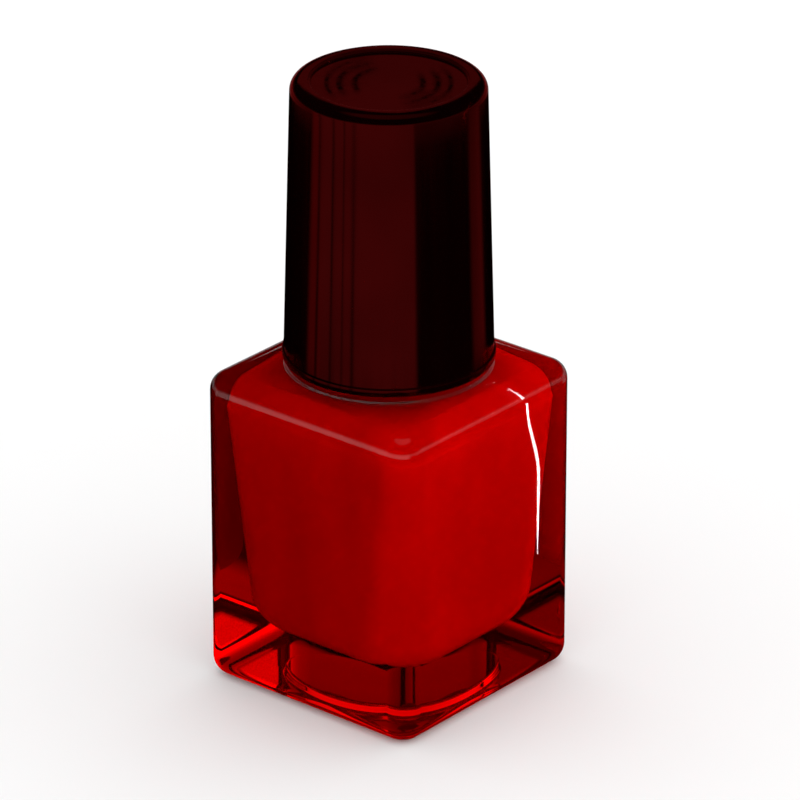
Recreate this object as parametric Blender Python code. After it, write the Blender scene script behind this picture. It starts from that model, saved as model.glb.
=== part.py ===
"""A square nail polish bottle with a tall tapered screw cap that carries the brush.

The bottle stands on z = 0 with its axis on Z and its flat faces square to X and Y. Every piece is
a stack of rings about Z: circles, or rounded squares whose corners shrink or grow into circles.
"""

import math

import bmesh
import bpy

MM = 0.001
GAP = 0.3 * MM  # left between two pieces that touch or nest on the real bottle

# Glass body
BODY_WIDTH = 31.8 * MM
CORNER_ROUND = 3.0 * MM
BASE_ROUND = 2.4 * MM
SHOULDER_ROUND = 2.3 * MM
SHOULDER_Z = 39.8 * MM
SHOULDER_RISE = 0.5 * MM
COLLAR_R = 12.4 * MM
COLLAR_TOP_Z = 41.1 * MM
COLLAR_ROUND = 0.4 * MM
PUNT_R = 9.0 * MM
PUNT_DEPTH = 1.2 * MM
PUNT_CHAMFER = 0.4 * MM

# Room for the lacquer: a square tub that narrows downwards
ROOM_FLOOR_Z = 7.0 * MM
ROOM_LOW_HALF = 11.6 * MM
ROOM_HIGH_HALF = 13.7 * MM
ROOM_HIGH_Z = 35.4 * MM
ROOM_CORNER_LOW = 4.4 * MM
ROOM_CORNER_HIGH = 3.2 * MM
ROOM_CORNER_LEAST = 2.0 * MM
ROOM_FLOOR_ROUND = 4.6 * MM
ROOM_ROOF_Z = 38.0 * MM
ROOM_ROOF_ROUND = 0.9 * MM
ROOM_ROOF_HALF = 9.8 * MM
ROOM_ROOF_CORNER = 7.8 * MM
ROOM_BROW_HALF = 12.8 * MM
ROOM_BROW_CORNER = 6.4 * MM

# Neck and its thread
NECK_R = 5.75 * MM
NECK_FOOT_ROUND = 0.5 * MM
BORE_R = 3.7 * MM
BORE_FLARE_Z = 40.6 * MM
BORE_FLARE = ((1.1 * MM, 0.9 * MM), (0.35 * MM, 2.6 * MM))  # height over the roof, added radius
RIM_Z = 52.0 * MM
RIM_ROUND = 0.4 * MM
THREAD_LEAD = 25.4 * MM / 12.0
THREAD_CREST_R = 6.5 * MM
THREAD_ROOT_WIDTH = 1.1 * MM
THREAD_CREST_WIDTH = 0.5 * MM
THREAD_SINK = 0.25 * MM
NECK_THREAD_Z = 45.4 * MM
NECK_THREAD_TURNS = 1.7
THREAD_STEPS_PER_TURN = 24
THREAD_FADE_STEPS = 3
THREAD_START_STEPS = 0.6  # how far into its fade the ridge begins, so that its end isn't a knife edge

# Lacquer and what lies in it
BRUSH_WELL_R = 2.9 * MM
BRUSH_WELL_Z = 8.3 * MM
BALL_R = 2.0 * MM
BALL_X = 6.6 * MM
LABEL_R = 8.6 * MM
LABEL_Z = 0.6 * MM
LABEL_THICK = 0.25 * MM

# Overcap
CAP_FOOT_Z = COLLAR_TOP_Z + GAP
CAP_TOP_Z = 76.4 * MM
CAP_FOOT_R = 12.5 * MM
CAP_TOP_R = 11.55 * MM
CAP_LIP_HEIGHT = 1.1 * MM
CAP_LIP_STEP = 0.2 * MM
CAP_TOP_ROUND = 1.3 * MM
CAP_DISH_R = 9.0 * MM
CAP_DISH_DEPTH = 0.4 * MM
CAP_WALL = 1.4 * MM
CAP_CROWN = 1.6 * MM
SLEEVE_OUTER_R = 9.9 * MM
SLEEVE_FOOT_Z = 43.4 * MM
WEB_COUNT = 6
WEB_THICK = 0.9 * MM

# Inner cap, with the thread that grips the neck
INNER_FOOT_Z = 42.0 * MM
INNER_TOP_Z = 62.0 * MM
INNER_R = 8.3 * MM
INNER_RIB = 0.35 * MM
INNER_RIB_COUNT = 24
INNER_RIB_MARGIN = 1.2 * MM
INNER_CHAMFER = 0.4 * MM
INNER_BORE_R = 6.8 * MM
INNER_THREAD_CREST_R = 6.0 * MM
INNER_THREAD_TURNS = 1.6
INNER_THREAD_TURNS_BELOW = 0.9

# Liner, brush stem and bristles
LINER_HOLE_R = 2.15 * MM
LINER_R = 6.4 * MM
LINER_THICK = 1.0 * MM
FLANGE_R = 5.4 * MM
FLANGE_THICK = 1.0 * MM
HEAD_R = 2.4 * MM
HEAD_HEIGHT = 4.2 * MM
STEM_TOP_R = 1.8 * MM
STEM_TIP_R = 1.5 * MM
STEM_TIP_Z = 23.5 * MM
STEM_CHAMFER = 0.25 * MM
SOCKET_R = 1.25 * MM
SOCKET_DEPTH = 4.0 * MM
ROOT_R = 0.92 * MM
ROOT_LENGTH = 2.6 * MM
STAPLE_SIZE = (1.7 * MM, 0.35 * MM, 0.8 * MM)
SLIT_REACH = 1.0 * MM  # how far the slit for the staple runs out of the bristles
TUFT_TIP_Z = 9.8 * MM
TUFT_PROFILE = ((0.0, 1.05), (0.18, 1.45), (0.5, 1.7), (0.8, 1.5), (0.94, 1.0), (1.0, 0.45))
CARRIED_TOP_Z = 17.0 * MM
CARRIED_R = 2.5 * MM
CARRIED_WALL = 0.45 * MM
CARRIED_TIP_SHARE = 0.6  # radius of its rounded tip as a share of its side

# Heights that follow from the seal on the rim
LINER_Z = RIM_Z + GAP
FLANGE_Z = LINER_Z + LINER_THICK + GAP
INNER_CEILING_Z = FLANGE_Z + FLANGE_THICK + GAP
SLEEVE_R = INNER_R + INNER_RIB + GAP

CORNER_STEPS = 6
ROUND_STEPS = 4
SMOOTH_ANGLE = math.radians(32)


def material(name, colour, roughness, metallic=0.0, transmission=0.0):
    """Plain material: colour, roughness and whether it is metal or glass."""
    made = bpy.data.materials.new(name)
    made.use_nodes = True
    shader = made.node_tree.nodes["Principled BSDF"]
    shader.inputs["Base Color"].default_value = (*colour, 1.0)
    shader.inputs["Roughness"].default_value = roughness
    shader.inputs["Metallic"].default_value = metallic
    shader.inputs["Transmission Weight"].default_value = transmission
    made.diffuse_color = (*colour, 1.0)
    return made


def section(z, half, corner, steps=CORNER_STEPS):
    """One ring at height z: a rounded square, or a circle where corner equals half."""
    points = []
    middle = half - corner
    for quarter in range(4):
        for step in range(steps):
            angle = math.radians(90) * (quarter + (step + 0.5) / steps)
            side_x = math.copysign(middle, math.cos(math.radians(90) * (quarter + 0.5)))
            side_y = math.copysign(middle, math.sin(math.radians(90) * (quarter + 0.5)))
            points.append((side_x + corner * math.cos(angle), side_y + corner * math.sin(angle), z))
    return points


def circle(z, radius, steps=CORNER_STEPS):
    return section(z, radius, radius, steps)


def ribbed_circle(z, radius, rib, count, steps):
    """A circle with every few points pushed out by rib, which gives count pointed ribs."""
    points = []
    for index, (x, y, height) in enumerate(circle(z, radius, steps)):
        grow = 1.0 + (rib / radius if index % (4 * steps // count) == 0 else 0.0)
        points.append((x * grow, y * grow, height))
    return points


def arc(count, start, end):
    """Angles from start to end in degrees, both included, as radians."""
    return [math.radians(start + (end - start) * step / count) for step in range(count + 1)]


def loft(rings):
    """A closed mesh through rings of equal length, with a flat face on the first and the last."""
    shape = bmesh.new()
    loops = [[shape.verts.new(point) for point in ring] for ring in rings]
    for low, high in zip(loops, loops[1:]):
        for index in range(len(low)):
            after = (index + 1) % len(low)
            shape.faces.new((low[index], low[after], high[after], high[index]))
    shape.faces.new(list(reversed(loops[0])))
    shape.faces.new(loops[-1])
    return shape


def add_object(name, shape, look, origin=(0.0, 0.0, 0.0)):
    """Makes shape an object whose origin is at the given point, and shades its round faces."""
    bmesh.ops.translate(shape, verts=shape.verts, vec=[-value for value in origin])
    mesh = bpy.data.meshes.new(name)
    shape.to_mesh(mesh)
    shape.free()
    mesh.shade_smooth()
    mesh.set_sharp_from_angle(angle=SMOOTH_ANGLE)
    mesh.materials.append(look)
    made = bpy.data.objects.new(name, mesh)
    made.location = origin
    bpy.context.scene.collection.objects.link(made)
    return made


def helper(name, shape, look):
    """A guide that only shapes another piece."""
    made = add_object(name, shape, look)
    made.hide_render = True
    made.display_type = "WIRE"
    return made


def combine(piece, guide, operation):
    modifier = piece.modifiers.new(guide.name, "BOOLEAN")
    modifier.operation = operation
    modifier.solver = "EXACT"
    modifier.object = guide


def thread_ridge(root_r, crest_r, start_z, turns):
    """A helical ridge of tapering section that stands on root_r and fades out at both ends."""
    shape = bmesh.new()
    outwards = math.copysign(1.0, crest_r - root_r)
    foot_r = root_r - outwards * THREAD_SINK
    steps = round(turns * THREAD_STEPS_PER_TURN)
    loops = []
    for step in range(steps + 1):
        angle = 2 * math.pi * step / THREAD_STEPS_PER_TURN
        middle = start_z + THREAD_LEAD * step / THREAD_STEPS_PER_TURN
        from_end = min(step, steps - step)
        fade = min(1.0, (from_end + THREAD_START_STEPS) / THREAD_FADE_STEPS)
        corners = (
            (foot_r, -THREAD_ROOT_WIDTH / 2),
            (root_r + (crest_r - root_r) * fade, -THREAD_CREST_WIDTH / 2),
            (root_r + (crest_r - root_r) * fade, THREAD_CREST_WIDTH / 2),
            (foot_r, THREAD_ROOT_WIDTH / 2),
        )
        loops.append([
            shape.verts.new((radius * math.cos(angle), radius * math.sin(angle), middle + rise))
            for radius, rise in corners
        ])
    for near, far in zip(loops, loops[1:]):
        for index in range(4):
            after = (index + 1) % 4
            shape.faces.new((near[index], near[after], far[after], far[index]))
    shape.faces.new(list(reversed(loops[0])))
    shape.faces.new(loops[-1])
    bmesh.ops.recalc_face_normals(shape, faces=shape.faces)
    return shape


def body_outside():
    """Rings from the middle of the base, out and up to the top of the collar."""
    half = BODY_WIDTH / 2
    rings = [
        circle(PUNT_DEPTH, PUNT_R),
        circle(PUNT_CHAMFER, PUNT_R),
        circle(0.0, PUNT_R + PUNT_CHAMFER),
    ]
    for angle in arc(ROUND_STEPS, 0, 90):
        inset = BASE_ROUND * (1 - math.sin(angle))
        rings.append(section(BASE_ROUND * (1 - math.cos(angle)), half - inset, CORNER_ROUND - inset))
    for angle in arc(ROUND_STEPS, 0, 90):
        inset = SHOULDER_ROUND * (1 - math.cos(angle))
        height = SHOULDER_Z - SHOULDER_ROUND * (1 - math.sin(angle))
        rings.append(section(height, half - inset, CORNER_ROUND - inset))
    foot_z = SHOULDER_Z + SHOULDER_RISE
    rings.append(circle(foot_z, COLLAR_R))
    for angle in arc(2, 0, 90):
        rings.append(circle(
            COLLAR_TOP_Z - COLLAR_ROUND * (1 - math.sin(angle)),
            COLLAR_R - COLLAR_ROUND * (1 - math.cos(angle)),
        ))
    return rings


def neck_rings():
    """Rings up the neck, over the rim and down the bore."""
    rings = [
        circle(COLLAR_TOP_Z, NECK_R + NECK_FOOT_ROUND),
        circle(COLLAR_TOP_Z + NECK_FOOT_ROUND, NECK_R),
        circle(RIM_Z - RIM_ROUND, NECK_R),
        circle(RIM_Z, NECK_R - RIM_ROUND),
        circle(RIM_Z, BORE_R + RIM_ROUND),
        circle(RIM_Z - RIM_ROUND, BORE_R),
        circle(BORE_FLARE_Z, BORE_R),
    ]
    rings += [circle(ROOM_ROOF_Z + height, BORE_R + wider) for height, wider in BORE_FLARE]
    return rings


def room_rings(inset=0.0):
    """Rings of the lacquer's room from its roof down to the floor, drawn in by inset."""
    rings = [
        section(ROOM_ROOF_Z - inset, ROOM_ROOF_HALF, ROOM_ROOF_CORNER),
        section(ROOM_ROOF_Z - ROOM_ROOF_ROUND, ROOM_BROW_HALF - inset, ROOM_BROW_CORNER),
        section(ROOM_HIGH_Z, ROOM_HIGH_HALF - inset, ROOM_CORNER_HIGH),
    ]
    for angle in arc(ROUND_STEPS, 90, 0):
        shrink = ROOM_FLOOR_ROUND * (1 - math.sin(angle))
        rings.append(section(
            ROOM_FLOOR_Z + inset + ROOM_FLOOR_ROUND * (1 - math.cos(angle)),
            ROOM_LOW_HALF - inset - shrink,
            max(ROOM_CORNER_LOW - shrink / 2, ROOM_CORNER_LEAST),
        ))
    return rings


def make_glass_bottle(look):
    shape = loft(body_outside() + neck_rings() + room_rings())
    bottle = add_object("glass_bottle", shape, look)
    ridge = thread_ridge(NECK_R, THREAD_CREST_R, NECK_THREAD_Z, NECK_THREAD_TURNS)
    combine(bottle, helper("neck_thread_guide", ridge, look), "UNION")


def make_lacquer(look):
    """The lacquer fills the room, with a well for the brush and a pocket over each ball."""
    under_roof = room_rings(GAP)[1:]
    under_roof.reverse()
    lacquer = add_object("lacquer", loft(under_roof), look)
    well = loft([circle(BRUSH_WELL_Z, BRUSH_WELL_R), circle(RIM_Z, BRUSH_WELL_R)])
    combine(lacquer, helper("brush_well_guide", well, look), "DIFFERENCE")
    for side in (-1, 1):
        pocket_r = BALL_R + GAP
        rings = [circle(0.0, pocket_r)]
        rings += [
            circle(ball_height() + pocket_r * math.sin(angle), pocket_r * math.cos(angle))
            for angle in arc(ROUND_STEPS, 0, 80)
        ]
        pocket = loft(rings)
        bmesh.ops.translate(pocket, verts=pocket.verts, vec=(side * BALL_X, 0.0, 0.0))
        name = "ball_pocket_guide_a" if side < 0 else "ball_pocket_guide_b"
        combine(lacquer, helper(name, pocket, look), "DIFFERENCE")


def ball_height():
    return ROOM_FLOOR_Z + GAP + BALL_R


def make_mixing_ball(name, x, look):
    shape = bmesh.new()
    bmesh.ops.create_icosphere(shape, subdivisions=2, radius=BALL_R)
    ball = add_object(name, shape, look)
    ball.location = (x, 0.0, ball_height())


def make_base_label(look):
    disc = loft([circle(LABEL_Z, LABEL_R), circle(LABEL_Z + LABEL_THICK, LABEL_R)])
    add_object("base_label", disc, look)


def cap_wall_r(z):
    """Radius of the overcap's tapered side at height z."""
    share = (z - CAP_FOOT_Z) / (CAP_TOP_Z - CAP_FOOT_Z)
    return CAP_FOOT_R + (CAP_TOP_R - CAP_FOOT_R) * share


def overcap_profile():
    """Height and radius from the middle of the crown's underside round to its upper face."""
    ceiling = CAP_TOP_Z - CAP_DISH_DEPTH - CAP_CROWN
    lip_top = CAP_FOOT_Z + CAP_LIP_HEIGHT
    lip_r = cap_wall_r(lip_top) + CAP_LIP_STEP
    profile = [
        (ceiling, SLEEVE_R),
        (SLEEVE_FOOT_Z, SLEEVE_R),
        (SLEEVE_FOOT_Z, SLEEVE_OUTER_R),
        (ceiling, SLEEVE_OUTER_R),
        (ceiling, cap_wall_r(ceiling) - CAP_WALL),
        (CAP_FOOT_Z, cap_wall_r(CAP_FOOT_Z) - CAP_WALL),
        (CAP_FOOT_Z, CAP_FOOT_R - CAP_LIP_STEP),
        (CAP_FOOT_Z + CAP_LIP_STEP, lip_r),
        (lip_top - CAP_LIP_STEP, lip_r),
        (lip_top, lip_r - CAP_LIP_STEP),
    ]
    round_z = CAP_TOP_Z - CAP_TOP_ROUND
    for angle in arc(ROUND_STEPS, 0, 90):
        profile.append((
            round_z + CAP_TOP_ROUND * math.sin(angle),
            cap_wall_r(round_z) - CAP_TOP_ROUND * (1 - math.cos(angle)),
        ))
    profile.append((CAP_TOP_Z, CAP_DISH_R + CAP_DISH_DEPTH))
    profile.append((CAP_TOP_Z - CAP_DISH_DEPTH, CAP_DISH_R))
    return profile


def make_overcap(look, origin):
    """A shell with a sleeve inside it that holds the inner cap, tied to the wall by webs."""
    steps = 2 * CORNER_STEPS
    shape = loft([circle(z, radius, steps) for z, radius in overcap_profile()])
    overcap = add_object("overcap", shape, look, origin)
    web_top = CAP_TOP_Z - CAP_DISH_DEPTH - CAP_CROWN + GAP
    web_foot = SLEEVE_FOOT_Z + CAP_WALL
    near = SLEEVE_OUTER_R - GAP
    far = cap_wall_r(web_top) - CAP_WALL + GAP
    for index in range(WEB_COUNT):
        angle = 2 * math.pi * index / WEB_COUNT
        along = (math.cos(angle), math.sin(angle))
        across = (-math.sin(angle) * WEB_THICK / 2, math.cos(angle) * WEB_THICK / 2)
        rings = [
            [
                (along[0] * reach + across[0] * side, along[1] * reach + across[1] * side, z)
                for reach, side in ((near, -1), (far, -1), (far, 1), (near, 1))
            ]
            for z in (web_foot, web_top)
        ]
        combine(overcap, helper(f"web_guide_{index}", loft(rings), look), "UNION")


def make_inner_cap(look, origin):
    """The threaded closure, with pointed ribs outside and a socket for the brush's head."""
    steps = INNER_RIB_COUNT * 3 // 4
    socket_r = HEAD_R + GAP
    socket_top = INNER_CEILING_Z + HEAD_HEIGHT
    rings = [
        circle(socket_top, socket_r, steps),
        circle(INNER_CEILING_Z, socket_r, steps),
        circle(INNER_CEILING_Z, INNER_BORE_R, steps),
        circle(INNER_FOOT_Z + INNER_CHAMFER, INNER_BORE_R, steps),
        circle(INNER_FOOT_Z, INNER_BORE_R + INNER_CHAMFER, steps),
        circle(INNER_FOOT_Z, INNER_R - INNER_CHAMFER, steps),
        circle(INNER_FOOT_Z + INNER_CHAMFER, INNER_R, steps),
        ribbed_circle(INNER_FOOT_Z + INNER_RIB_MARGIN, INNER_R, INNER_RIB, INNER_RIB_COUNT, steps),
        ribbed_circle(INNER_TOP_Z - INNER_RIB_MARGIN, INNER_R, INNER_RIB, INNER_RIB_COUNT, steps),
        circle(INNER_TOP_Z - INNER_CHAMFER, INNER_R, steps),
        circle(INNER_TOP_Z, INNER_R - INNER_CHAMFER, steps),
    ]
    inner_cap = add_object("inner_cap", loft(rings), look, origin)
    start = NECK_THREAD_Z + THREAD_LEAD * (0.5 - INNER_THREAD_TURNS_BELOW)
    ridge = thread_ridge(INNER_BORE_R, INNER_THREAD_CREST_R, start, INNER_THREAD_TURNS)
    turn = -2 * math.pi * INNER_THREAD_TURNS_BELOW
    guide = helper("cap_thread_guide", ridge, look)
    guide.rotation_euler = (0.0, 0.0, turn)
    combine(inner_cap, guide, "UNION")


def make_seal_liner(look, origin):
    rings = [
        circle(LINER_Z, LINER_HOLE_R),
        circle(LINER_Z, LINER_R),
        circle(LINER_Z + LINER_THICK, LINER_R),
        circle(LINER_Z + LINER_THICK, LINER_HOLE_R),
    ]
    shape = bmesh.new()
    loops = [[shape.verts.new(point) for point in ring] for ring in rings]
    for low, high in zip(loops, loops[1:] + loops[:1]):
        for index in range(len(low)):
            after = (index + 1) % len(low)
            shape.faces.new((low[index], low[after], high[after], high[index]))
    add_object("seal_liner", shape, look, origin)


def make_brush_stem(look, origin):
    """A rod with a flange under the inner cap's ceiling and a socket for the bristles."""
    rings = [
        circle(STEM_TIP_Z + SOCKET_DEPTH, SOCKET_R),
        circle(STEM_TIP_Z, SOCKET_R),
        circle(STEM_TIP_Z, STEM_TIP_R - STEM_CHAMFER / 2),
        circle(STEM_TIP_Z + STEM_CHAMFER, STEM_TIP_R),
        circle(FLANGE_Z, STEM_TOP_R),
        circle(FLANGE_Z, FLANGE_R),
        circle(FLANGE_Z + FLANGE_THICK, FLANGE_R),
        circle(FLANGE_Z + FLANGE_THICK, HEAD_R),
        circle(FLANGE_Z + FLANGE_THICK + HEAD_HEIGHT - STEM_CHAMFER, HEAD_R),
        circle(FLANGE_Z + FLANGE_THICK + HEAD_HEIGHT, HEAD_R - STEM_CHAMFER),
    ]
    add_object("brush_stem", loft(rings), look, origin)


def make_bristle_root(look, origin):
    """The folded end of the bristles inside the stem, slit at the top for the staple."""
    low = STEM_TIP_Z + GAP / 2
    fold = loft([circle(low, ROOT_R), circle(low + ROOT_LENGTH, ROOT_R)])
    root = add_object("bristle_root", fold, look, origin)
    slit = staple_rings(GAP, SLIT_REACH)
    combine(root, helper("staple_slit_guide", loft(slit), look), "DIFFERENCE")


def staple_rings(grow=0.0, reach=0.0):
    """The anchor plate's outline, grown on the sides that the bristles wrap and run out by reach."""
    width, thick, height = STAPLE_SIZE
    low = STEM_TIP_Z + GAP / 2 + ROOT_LENGTH - height + GAP - grow
    high = low + height + 2 * grow + reach
    half_x = width / 2 + reach
    half_y = thick / 2 + grow / 2
    corners = ((-half_x, -half_y), (half_x, -half_y), (half_x, half_y), (-half_x, half_y))
    return [[(x, y, z) for x, y in corners] for z in (low, high)]


def make_bristle_staple(look, origin):
    add_object("bristle_staple", loft(staple_rings()), look, origin)


def make_bristle_tuft(look, origin):
    top = STEM_TIP_Z - GAP
    length = top - TUFT_TIP_Z
    rings = [circle(top - share * length, radius * MM) for share, radius in TUFT_PROFILE]
    rings.reverse()
    add_object("bristle_tuft", loft(rings), look, origin)


def make_carried_lacquer(look, origin):
    """The lacquer that clings to the bristles: a cup around their lower half."""
    floor = TUFT_TIP_Z - GAP
    inner = CARRIED_R - CARRIED_WALL
    rings = [
        circle(floor - CARRIED_WALL, CARRIED_TIP_SHARE * CARRIED_R),
        circle(floor + CARRIED_WALL, CARRIED_R),
        circle(CARRIED_TOP_Z, CARRIED_R),
        circle(CARRIED_TOP_Z, inner),
        circle(floor + CARRIED_WALL, inner),
        circle(floor, CARRIED_TIP_SHARE * inner),
    ]
    add_object("lacquer_on_brush", loft(rings), look, origin)


def build():
    for old in list(bpy.data.objects):
        bpy.data.objects.remove(old, do_unlink=True)

    glass = material("red_tinted_glass", (0.45, 0.02, 0.02), 0.03, transmission=0.8)
    red = material("red_lacquer", (0.38, 0.004, 0.005), 0.08)
    maroon = material("maroon_gloss_plastic", (0.033, 0.001, 0.001), 0.15)
    black = material("black_moulded_plastic", (0.012, 0.011, 0.011), 0.35)
    foam = material("white_liner_foam", (0.78, 0.76, 0.72), 0.7)
    nylon = material("dark_nylon", (0.03, 0.02, 0.02), 0.45)
    steel = material("polished_steel", (0.62, 0.62, 0.63), 0.15, metallic=1.0)
    paper = material("label_paper", (0.75, 0.73, 0.7), 0.75)

    make_glass_bottle(glass)
    make_lacquer(red)
    make_mixing_ball("mixing_ball_a", -BALL_X, steel)
    make_mixing_ball("mixing_ball_b", BALL_X, steel)
    make_base_label(paper)

    on_axis = (0.0, 0.0, RIM_Z)
    make_overcap(maroon, on_axis)
    make_inner_cap(black, on_axis)
    make_seal_liner(foam, on_axis)
    make_brush_stem(black, on_axis)
    make_bristle_root(nylon, on_axis)
    make_bristle_staple(steel, on_axis)
    make_carried_lacquer(red, on_axis)
    make_bristle_tuft(nylon, (0.0, 0.0, STEM_TIP_Z))


build()
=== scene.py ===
import math
import random

import bmesh
import bpy
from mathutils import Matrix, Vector


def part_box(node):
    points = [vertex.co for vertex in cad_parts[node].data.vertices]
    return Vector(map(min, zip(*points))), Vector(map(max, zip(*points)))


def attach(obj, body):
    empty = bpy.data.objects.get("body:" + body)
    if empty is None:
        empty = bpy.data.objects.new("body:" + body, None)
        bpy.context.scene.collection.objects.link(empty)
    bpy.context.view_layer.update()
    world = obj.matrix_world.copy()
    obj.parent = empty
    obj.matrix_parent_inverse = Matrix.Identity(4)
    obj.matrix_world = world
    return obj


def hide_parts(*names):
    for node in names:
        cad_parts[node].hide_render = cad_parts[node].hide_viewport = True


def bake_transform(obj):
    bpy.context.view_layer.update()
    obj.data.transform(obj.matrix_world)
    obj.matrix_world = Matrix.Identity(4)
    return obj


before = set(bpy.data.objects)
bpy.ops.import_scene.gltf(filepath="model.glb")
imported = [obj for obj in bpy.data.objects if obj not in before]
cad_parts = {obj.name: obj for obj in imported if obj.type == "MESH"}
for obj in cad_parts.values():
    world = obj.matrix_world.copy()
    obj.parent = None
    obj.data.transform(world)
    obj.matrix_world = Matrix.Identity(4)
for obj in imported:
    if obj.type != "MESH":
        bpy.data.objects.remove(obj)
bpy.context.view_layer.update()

MM = 0.001

# Lowest and highest corners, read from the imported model
GLASS_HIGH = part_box("glass_bottle")[1]
CAP_LOW, CAP_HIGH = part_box("overcap")
INNER_LOW, INNER_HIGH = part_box("inner_cap")
LINER_LOW, LINER_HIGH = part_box("seal_liner")
STEM_LOW, STEM_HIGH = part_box("brush_stem")
TUFT_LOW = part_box("bristle_tuft")[0]
ROOT_LOW, ROOT_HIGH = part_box("bristle_root")
STAPLE_LOW, STAPLE_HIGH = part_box("bristle_staple")
LABEL_LOW, LABEL_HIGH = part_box("base_label")
CARRIED_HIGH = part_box("lacquer_on_brush")[1]

# How finely shapes are made
QUARTER_STEPS = 24
CAP_QUARTER_STEPS = 36
INNER_QUARTER_STEPS = 54
ROUND_STEPS = 10
EDGE_STEPS = 5
SMALL_EDGE_STEPS = 4
SMOOTH_ANGLE = math.radians(35)


# ---------------------------------------------------------------- shapes


def section(z, half, corner, steps=QUARTER_STEPS):
    """One ring at height z: a rounded square, or a circle where corner equals half."""
    points = []
    middle = half - corner
    for quarter in range(4):
        middle_angle = math.radians(90) * (quarter + 0.5)
        side_x = math.copysign(middle, math.cos(middle_angle))
        side_y = math.copysign(middle, math.sin(middle_angle))
        for step in range(steps):
            angle = math.radians(90) * (quarter + (step + 0.5) / steps)
            points.append((side_x + corner * math.cos(angle), side_y + corner * math.sin(angle), z))
    return points


def circle(z, radius, steps=QUARTER_STEPS):
    return section(z, radius, radius, steps)


def arc(count, start, end):
    """Angles from start to end in degrees, both included, as radians."""
    return [math.radians(start + (end - start) * step / count) for step in range(count + 1)]


def mix(low, high, share):
    return low + (high - low) * share


def circles(profile, steps=QUARTER_STEPS):
    """Rings from pairs of a height and a radius."""
    return [circle(z, radius, steps) for z, radius in profile]


def rounded(count, start, end, z, radius, rise, spread):
    """Heights and radii round an edge, which reaches z at 90 degrees and the radius at 0 degrees."""
    return [
        (z + rise * (1 - math.sin(angle)), radius + spread * (1 - math.cos(angle)))
        for angle in arc(count, start, end)
    ]


def skin(shape, rings):
    """Joins rings of equal length with quads, and returns their loops of vertices."""
    loops = [[shape.verts.new(point) for point in ring] for ring in rings]
    for low, high in zip(loops, loops[1:]):
        for index in range(len(low)):
            after = (index + 1) % len(low)
            shape.faces.new((low[index], low[after], high[after], high[index]))
    return loops


def loft(rings):
    """A closed mesh through the rings, with a flat face on the first and the last."""
    shape = bmesh.new()
    loops = skin(shape, rings)
    shape.faces.new(list(reversed(loops[0])))
    shape.faces.new(loops[-1])
    return shape


def ring_loft(rings):
    """A closed ring-shaped mesh: the last ring joins the first."""
    shape = bmesh.new()
    loops = skin(shape, rings)
    for index in range(len(loops[0])):
        after = (index + 1) % len(loops[0])
        shape.faces.new((loops[-1][index], loops[-1][after], loops[0][after], loops[0][index]))
    return shape


def piece(name, shape, look, body, slot, *stands_for):
    """Makes the shape an object that rides on a body and takes the place of CAD nodes."""
    mesh = bpy.data.meshes.new(name)
    shape.to_mesh(mesh)
    shape.free()
    mesh.shade_smooth()
    mesh.set_sharp_from_angle(angle=SMOOTH_ANGLE)
    mesh.materials.append(look)
    made = bpy.data.objects.new(name, mesh)
    bpy.context.scene.collection.objects.link(made)
    if body:
        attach(made, body)
    if stands_for:
        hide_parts(*stands_for)
    return made


def unite(target, shape):
    """Adds a shape to a piece by a Boolean union and keeps the result as its mesh."""
    mesh = bpy.data.meshes.new("union_guide")
    shape.to_mesh(mesh)
    shape.free()
    guide = bpy.data.objects.new("union_guide", mesh)
    bpy.context.scene.collection.objects.link(guide)
    modifier = target.modifiers.new("union", "BOOLEAN")
    modifier.operation = "UNION"
    modifier.solver = "EXACT"
    modifier.object = guide
    bpy.context.view_layer.update()
    graph = bpy.context.evaluated_depsgraph_get()
    result = bpy.data.meshes.new_from_object(target.evaluated_get(graph))
    target.modifiers.remove(modifier)
    old = target.data
    target.data = result
    bpy.data.meshes.remove(old)
    bpy.data.objects.remove(guide)
    bpy.data.meshes.remove(mesh)


# ---------------------------------------------------------------- nodes


def feed(tree, value, socket):
    """Links another node's output to a socket, or sets the socket to a fixed value."""
    if isinstance(value, bpy.types.NodeSocket):
        tree.links.new(value, socket)
    else:
        socket.default_value = value


def calculate(tree, operation, *values):
    made = tree.nodes.new("ShaderNodeMath")
    made.operation = operation
    for value, socket in zip(values, made.inputs):
        feed(tree, value, socket)
    return made.outputs["Value"]


def vector_maths(tree, operation, output, *values):
    made = tree.nodes.new("ShaderNodeVectorMath")
    made.operation = operation
    for value, socket in zip(values, made.inputs):
        feed(tree, value, socket)
    return made.outputs[output]


def coordinates(tree, output):
    return tree.nodes.new("ShaderNodeTexCoord").outputs[output]


def components(tree, vector):
    """The X, Y and Z outputs of a vector."""
    made = tree.nodes.new("ShaderNodeSeparateXYZ")
    tree.links.new(vector, made.inputs["Vector"])
    return made.outputs


def remap(tree, value, low, high, start=0.35, end=0.65):
    """The value stretched from start..end to low..high."""
    made = tree.nodes.new("ShaderNodeMapRange")
    made.inputs["From Min"].default_value = start
    made.inputs["From Max"].default_value = end
    made.inputs["To Min"].default_value = low
    made.inputs["To Max"].default_value = high
    tree.links.new(value, made.inputs["Value"])
    return made.outputs["Result"]


def grey_ramp(tree, value, stops):
    """Grey levels by value, from pairs of a value from 0 to 1 and a level."""
    made = tree.nodes.new("ShaderNodeValToRGB")
    tree.links.new(value, made.inputs["Fac"])
    elements = made.color_ramp.elements
    while len(elements) > 1:
        elements.remove(elements[0])
    for index, (position, level) in enumerate(stops):
        if index == 0:
            elements[0].position = position
        else:
            elements.new(position)
        elements[index].color = (level, level, level, 1.0)
    return made.outputs["Color"]


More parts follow.
